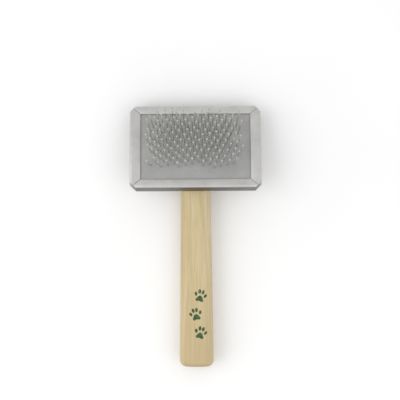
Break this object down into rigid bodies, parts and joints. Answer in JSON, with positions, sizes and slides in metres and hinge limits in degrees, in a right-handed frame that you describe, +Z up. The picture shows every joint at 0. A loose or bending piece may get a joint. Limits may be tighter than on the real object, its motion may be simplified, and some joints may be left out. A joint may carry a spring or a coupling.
{
  "type": "slicker brush",
  "caption": "Grooming brush: a folded steel tray clamps a cushioned pad of fine bent wire pins with rounded soft tips, set at a slope on a straight wooden handle.",
  "frame": {"origin": "on the flat back of the handle, under the middle of the whole brush's box", "axes": "+Z up, the way the pins point; +Y from the handle's butt to the far end of the head; X across the head"},
  "size_m": [0.059, 0.118, 0.0271],
  "materials": {
    "varnished_wood": "pale, fine-grained, satin clear varnish",
    "plated_steel": "pressed and folded sheet, satin bright plating",
    "screw_steel": "zinc plated",
    "foam": "soft open-cell foam",
    "cloth": "plain-woven laminated cloth",
    "grey_rubber": "smooth matt grey",
    "pin_wire": "drawn spring wire",
    "soft_tip": "milky, slightly glossy"
  },
  "bodies": {
    "root": {"handle": "varnished_wood", "head_tray": "plated_steel", "tray_screws": "screw_steel", "foam_cushion": "foam", "backing_cloth": "cloth", "rubber_facing": "grey_rubber", "staples_01": "pin_wire", "staples_02": "pin_wire", "staples_03": "pin_wire", "staples_04": "pin_wire", "staples_05": "pin_wire", "staples_06": "pin_wire", "staples_07": "pin_wire", "staples_08": "pin_wire", "staples_09": "pin_wire", "staples_10": "pin_wire", "staples_11": "pin_wire", "staples_12": "pin_wire", "staples_13": "pin_wire", "staples_14": "pin_wire", "pin_tips_01": "soft_tip", "pin_tips_02": "soft_tip", "pin_tips_03": "soft_tip", "pin_tips_04": "soft_tip", "pin_tips_05": "soft_tip", "pin_tips_06": "soft_tip", "pin_tips_07": "soft_tip", "pin_tips_08": "soft_tip", "pin_tips_09": "soft_tip", "pin_tips_10": "soft_tip", "pin_tips_11": "soft_tip", "pin_tips_12": "soft_tip", "pin_tips_13": "soft_tip", "pin_tips_14": "soft_tip"}
  },
  "joints": []
}
